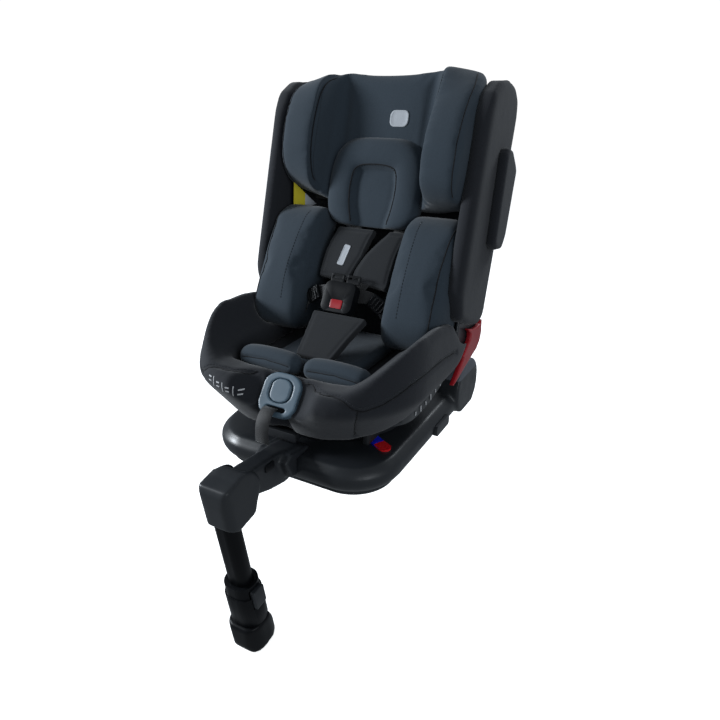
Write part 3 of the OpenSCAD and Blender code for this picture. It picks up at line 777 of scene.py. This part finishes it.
# ---- cushions made from their CAD solids ----
def cushion(name, node, body, voxel, rounds, swell=0.0, pressure=0, cap=0.0, shape=None):
    """A cushion over its CAD solid: rounded, swollen, shaped, then blown up by the cloth simulation."""
    obj = copy_of(name, node)
    remesh(obj, voxel)
    relax(obj, rounds)
    grow(obj, swell)
    if shape:
        shape(obj)
    if pressure:
        puff(obj, pressure, cap, 12)
    return soft(obj, body, node)


# Seams of the padded surround on the +X side, each with its depth and width: top edge, front panel's end
SURROUND_SEAMS = [
    ([(0.048, -0.176, 0.210), (0.075, -0.182, 0.213), (0.100, -0.190, 0.214), (0.132, -0.192, 0.202),
      (0.158, -0.187, 0.186), (0.181, -0.168, 0.190), (0.200, -0.138, 0.200), (0.216, -0.095, 0.212),
      (0.222, -0.020, 0.214), (0.222, 0.060, 0.205)], 0.0035, 0.0035),
    ([(0.158, -0.187, 0.186), (0.152, -0.182, 0.165), (0.142, -0.168, 0.140), (0.134, -0.154, 0.118)],
     0.0030, 0.0035)]


def shape_surround(obj):
    """Flattens the surround round the adjuster plate and presses its sewn seams in."""
    plate = NODES["adjuster_plate"]
    corners = coords(plate)
    face = np.array([0, -math.sin(PLATE_TILT), math.cos(PLATE_TILT)])
    middle = np.array([PLATE_SHIFT, corners[:, 1].mean(), corners[:, 2].mean()])
    co = coords(obj)
    height = (co - middle) @ face
    away = np.linalg.norm(co - middle - height[:, None] * face, axis=1)
    # level under the plate's rim, with room behind its button
    top = ((corners - middle) @ face).max() - 0.0055 - 0.009 * (1 - smoothstep(away, 0.026, 0.040))
    weight = 1 - smoothstep(away, 0.045, 0.090)
    drop = np.where((height > top) & (height < top + 0.05), (height - top) * weight, 0)
    set_coords(obj, co - drop[:, None] * face)
    relax(obj, 4)
    for side in (-1, 1):
        for points, depth, width in SURROUND_SEAMS:
            path = curve_through([(side * x, y, z) for x, y, z in points], 60)
            where, _ = surface_path(obj, path)
            groove(obj, where, depth, width)


# How far both thigh rolls sit to the +X side of their CAD solids
LOBE_SHIFT = 0.008


def shape_lobes(obj):
    """Makes the two thigh rolls at the front lens-shaped: full in the middle, thin at the ends."""
    co = coords(obj)
    axis_y, axis_z = -0.116, 0.198
    middle_x, half_length = 0.069, 0.068
    along = np.abs(np.abs(co[:, 0]) - middle_x) / half_length
    size = 0.72 + 0.75 * np.sqrt(np.clip(1 - along ** 2, 0, 1))
    dy, dz = co[:, 1] - axis_y, co[:, 2] - axis_z
    near = 1 - smoothstep(np.hypot(dy, dz), 0.020, 0.034)
    grown = 1 + (size - 1) * near * (co[:, 2] > 0.19)
    co[:, 1] = axis_y + dy * np.minimum(grown, 1.25) + 0.004 * near
    co[:, 2] = axis_z + dz * grown
    co[:, 0] += LOBE_SHIFT * near
    set_coords(obj, co)
    relax(obj, 3)


def make_body_cushions():
    surround = cushion("seat_surround", "seat_bolster", "seat", 0.0045, 16, swell=0.0015,
                       shape=shape_surround)
    for side, label in SIDES:
        for k, (points, _, _) in enumerate(SURROUND_SEAMS):
            path = curve_through([(side * x, y, z) for x, y, z in points], 70)
            above = (0, 0, 0.006 if k == 0 else 0)
            stitches("surround_stitches_%s_%d" % (label, k), surround, path + above, "seat")
            piping("surround_seam_%s_%d" % (label, k), surround, path, 0.0012, "seat", "black_fabric")
    make_front_marks(surround)
    cushion("seat_base_cushion", "seat_cushion", "seat", 0.006, 6)
    cushion("back_cushion", "back_pad", "seat", 0.006, 6)
    insert = cushion("insert_base", "insert_seat", "seat", 0.0030, 4, pressure=3, cap=0.004,
                     shape=shape_lobes)
    for side, label in SIDES:
        fold = [(side * x + LOBE_SHIFT, -0.130, 0.206 - 1.6 * (x - 0.07) ** 2)
                for x in np.linspace(0.020, 0.120, 30)]
        where, _ = surface_path(insert, fold)
        groove(insert, where, 0.0035, 0.0028)
        piping("lobe_seam_" + label, insert, fold, 0.0008, "seat", lift=0.0002)
    for label in ("left", "right"):
        cushion("insert_bolster_" + label, "insert_" + label, "seat", 0.0045, 30, swell=0.005,
                pressure=4, cap=0.011)
        cushion("side_wing_" + label, "wing_" + label, "seat", 0.004, 14, swell=0.002)
        cushion("protector_cover_" + label, "side_protector_" + label, "protector_" + label,
                0.0028, 8, swell=0.001)
    make_insert_seams()


def make_front_marks(surround):
    """Marks printed on the front: long bars with pairs of dashes between, falling towards the middle."""
    first_x, first_z, fall = -0.112, 0.186, 0.22
    for k, x in enumerate((first_x, -0.090, -0.070)):
        mark_on(surround, "front_bar_%d" % k, (x, first_z - fall * (x - first_x)), (0.0014, 0.017))
    for k, x in enumerate((-0.122, -0.101, -0.080, -0.060)):
        for row, dz in enumerate((0.0035, -0.0035)):
            mark_on(surround, "front_dash_%d_%d" % (k, row), (x, first_z - fall * (x - first_x) + dz),
                    (0.007, 0.0022))


def make_insert_seams():
    """Piping where each side bolster of the insert meets its flat side panel."""
    for side, label in SIDES:
        bolster = bpy.data.objects["insert_bolster_" + label]
        path = back([(side * x, n, u) for x, n, u in curve_through(
            [(0.180, 0.060, 0.236), (0.186, 0.100, 0.215), (0.188, 0.126, 0.165), (0.189, 0.140, 0.100),
             (0.188, 0.146, 0.050)], 50)])
        piping("insert_piping_" + label, bolster, path, 0.0013, "seat")
        path = back([(side * x, n, u) for x, n, u in curve_through(
            [(0.120, 0.085, 0.236), (0.122, 0.120, 0.180), (0.124, 0.146, 0.110), (0.124, 0.150, 0.060)],
            50)])
        stitches("insert_stitches_" + label, bolster, path, "seat")


def mark_on(onto, name, centre, size):
    """A short printed bar on the front of the surround; size is its width and height."""
    tree = BVHTree.FromObject(onto, bpy.context.evaluated_depsgraph_get())
    points = []
    rows = 7
    for t in np.linspace(-0.5, 0.5, rows):
        hits = []
        for dx in (-0.5, 0.5):
            start = Vector((centre[0] + dx * size[0], -0.4, centre[1] + t * size[1]))
            where, out, _, _ = tree.ray_cast(start, Vector((0, 1, 0)))
            hits.append((np.array(where), np.array(out)))
        (left, left_out), (right, right_out) = hits
        points += [left + left_out * 0.0001, right + right_out * 0.0001,
                   right + right_out * 0.0006, left + left_out * 0.0006]
    faces = [face[::-1] for face in band_faces(rows, 4)]
    last = 4 * (rows - 1)
    faces += [(0, 1, 2, 3), (last + 3, last + 2, last + 1, last)]
    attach(new_object(name, points, faces, "scale_print", smooth=False), "seat")


# ---- harness ----
# lower and upper end of the shoulder pads' middle line, as (n, u) in the backrest's frame
PAD_LOW, PAD_TOP = (0.098, 0.113), (0.056, 0.214)


def lay_on_slope(obj):
    """Lays a flat slab (x, distance up the pad, thickness) on the slope of the shoulder pads."""
    co = coords(obj)
    low, top = np.array(PAD_LOW), np.array(PAD_TOP)
    along = (top - low) / np.linalg.norm(top - low)
    out = np.array([along[1], -along[0]])
    pad_length, rise = 0.11, 0.008
    bulge = rise * np.sin(np.pi * np.clip(co[:, 1] / pad_length, 0, 1))
    flat = low + co[:, 1:2] * along + (co[:, 2:3] + bulge[:, None]) * out
    set_coords(obj, back(np.stack([co[:, 0], flat[:, 0], flat[:, 1]], 1)))


# Outlines of the shoulder pads: across the seat, and up the pad from its lower end
SHOULDER_PADS = {
    "right": [(-0.070, 0.0), (-0.006, 0.0), (0.000, 0.016), (0.012, 0.048), (0.016, 0.108), (-0.064, 0.108),
              (-0.069, 0.05)],
    "left": [(0.002, -0.002), (0.078, -0.010), (0.080, 0.05), (0.084, 0.108), (0.048, 0.108), (0.017, 0.050),
             (0.004, 0.018)]}
# Each strap's middle line in the backrest's frame, and its width
STRAPS = {
    "shoulder_strap_left": ([(0.062, 0.022, 0.250), (0.064, 0.046, 0.226), (0.060, 0.062, 0.200),
                             (0.045, 0.088, 0.150), (0.030, 0.104, 0.112), (0.018, 0.112, 0.092)], 0.025),
    "shoulder_strap_right": ([(-0.034, 0.022, 0.250), (-0.032, 0.046, 0.226), (-0.032, 0.062, 0.200),
                              (-0.034, 0.088, 0.150), (-0.028, 0.104, 0.112), (-0.018, 0.112, 0.092)], 0.025),
    "lap_strap_left": ([(0.024, 0.114, 0.086), (0.046, 0.115, 0.088), (0.068, 0.112, 0.080),
                        (0.084, 0.106, 0.062), (0.090, 0.092, 0.036), (0.086, 0.070, 0.020)], 0.024),
    "lap_strap_right": ([(-0.024, 0.114, 0.086), (-0.046, 0.115, 0.088), (-0.068, 0.112, 0.080),
                         (-0.084, 0.106, 0.062), (-0.090, 0.092, 0.036), (-0.086, 0.070, 0.020)], 0.024)}
WEBBING_THICK = 0.0016


def make_shoulder_pads():
    for label, outline in SHOULDER_PADS.items():
        pad = slab("shoulder_cover_" + label, "charcoal_fabric", outline, 0.008, 0.0022, 7)
        centre = np.mean(outline, 0)
        co = coords(pad)
        inset = [(p + (centre - p) * 0.13) for p in map(np.array, outline)]
        d = distance_to_path(co[:, :2], np.array(inset + inset[:1]))
        co[:, 2] *= (1 - 0.10 * np.exp(-(d / 0.003) ** 2)) ** 2
        set_coords(pad, co)
        lay_on_slope(pad)
        soft(pad, "seat", "shoulder_pad_" + label)
        if label == "right":
            patch(pad, "shoulder_label", "seat", (-0.026, 0.11, 0.160), (0.014, 0.040), 0.003, turn=-0.12)


def make_lap_adjuster(side, label):
    """Ladder-lock on a lap strap: a tapered plate with a ridged face."""
    outline = [(-0.017, -0.013), (0.013, -0.015), (0.018, 0.0), (0.013, 0.015), (-0.017, 0.013)]
    plate = slab("lap_adjuster_" + label, "black_plastic", outline, 0.0035, 0.0014, 3)
    co = coords(plate)
    co[:, 2] += 0.0016 * np.cos(co[:, 0] * 900) * (np.abs(co[:, 1]) < 0.010) * (co[:, 2] > 0)
    turn = 0.55
    x = side * (0.070 + co[:, 0] * math.cos(turn) + co[:, 1] * math.sin(turn))
    u = 0.078 - co[:, 0] * math.sin(turn) + co[:, 1] * math.cos(turn)
    set_coords(plate, back(np.stack([x, 0.117 + co[:, 2] - 0.30 * np.maximum(np.abs(x) - 0.06, 0), u], 1)))
    plate.data.materials[0] = JET
    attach(plate, "seat")


def make_straps():
    rows = 44
    for name, (points, width) in STRAPS.items():
        path = back(points)
        across = (1, 0, 0) if "shoulder" in name else back([(0, -0.2, 1)])[0] - back([(0, 0, 0)])[0]
        strap = ribbon(name, path, width, WEBBING_THICK, "webbing", across, rows)
        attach(strap, "seat")
        if name == "shoulder_strap_left":
            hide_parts("harness_webbing")
    for side, label in SIDES:
        make_lap_adjuster(side, label)


def make_crotch_pad():
    outline = [(-0.028, -0.054), (0.044, -0.054), (0.058, 0.0), (0.072, 0.046), (-0.040, 0.046),
               (-0.034, 0.0)]
    seam = [(-0.022, -0.048), (-0.028, 0.0), (-0.033, 0.040), (0.064, 0.040), (0.051, 0.0), (0.038, -0.048),
            (-0.022, -0.048)]
    pad = slab("crotch_cover", "charcoal_fabric", outline, 0.0075, 0.0024, 8)
    co = coords(pad)
    co[:, 2] *= 1 - 0.14 * np.exp(-(distance_to_path(co[:, :2], np.array(seam)) / 0.003) ** 2)
    tilt, middle_y, middle_z = math.radians(34), -0.036, 0.231
    y = middle_y + co[:, 1] * math.cos(tilt) - co[:, 2] * math.sin(tilt)
    z = middle_z + co[:, 1] * math.sin(tilt) + co[:, 2] * math.cos(tilt)
    set_coords(pad, np.stack([co[:, 0], y, z], 1))
    soft(pad, "seat", "crotch_pad")


def make_pull_strap():
    """The adjuster's strap, out of the plate's slot and down by its own weight."""
    width, rows = 0.026, 36
    path = [(0.0, -0.1985, 0.1585), (0.0, -0.206, 0.159), (0.001, -0.2155, 0.155), (0.002, -0.2245, 0.147),
            (0.002, -0.2295, 0.134), (0.001, -0.230, 0.120), (-0.001, -0.2275, 0.106)]
    strap = ribbon("pull_strap", path, width, WEBBING_THICK, "webbing", (1, 0.06, 0), rows)
    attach(strap, "seat")
    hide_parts("adjuster_strap")


def make_harness():
    make_shoulder_pads()
    make_straps()
    make_crotch_pad()
    make_pull_strap()


# ---- trim ----
def make_badge():
    """The direction badge, one half blue and one half red."""
    badge = copy_of("badge_halves", "direction_badge")
    co = coords(badge)
    middle = co.mean(0)
    set_coords(badge, middle + (co - middle) * (1.30, 1.30, 1.0))
    badge.data.materials.append(BADGE_RED)
    for face in badge.data.polygons:
        face.material_index = int(face.center.x > middle[0])
    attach(badge, "base")
    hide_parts("direction_badge")


def make_tag():
    """The small two-colour tag sewn in between headrest and insert."""
    triangle = [(-0.178, 0.072, 0.292), (-0.178, 0.060, 0.236), (-0.150, 0.022, 0.258)]
    split = [tuple((np.array(triangle[k]) + np.array(triangle[2])) / 2) for k in (0, 1)]
    for name, shape, material in (("tag_yellow", [triangle[0], triangle[1], split[1], split[0]], TAG_YELLOW),
                                  ("tag_white", [split[0], split[1], triangle[2]], LABEL)):
        points = back([(x, n + lift, u) for lift in (0, -0.0008) for x, n, u in shape])
        count = len(shape)
        faces = [tuple(range(count)), tuple(range(count, 2 * count))[::-1]]
        faces += [(k, (k + 1) % count, count + (k + 1) % count, count + k)[::-1] for k in range(count)]
        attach(new_object(name, points, faces, "webbing", smooth=False, material=material), "seat")


add_camera()
add_studio()
dress_rigid()
make_mouldings()
make_headrest()
make_neck_pillow()
make_body_cushions()
make_harness()
make_badge()
make_tag()
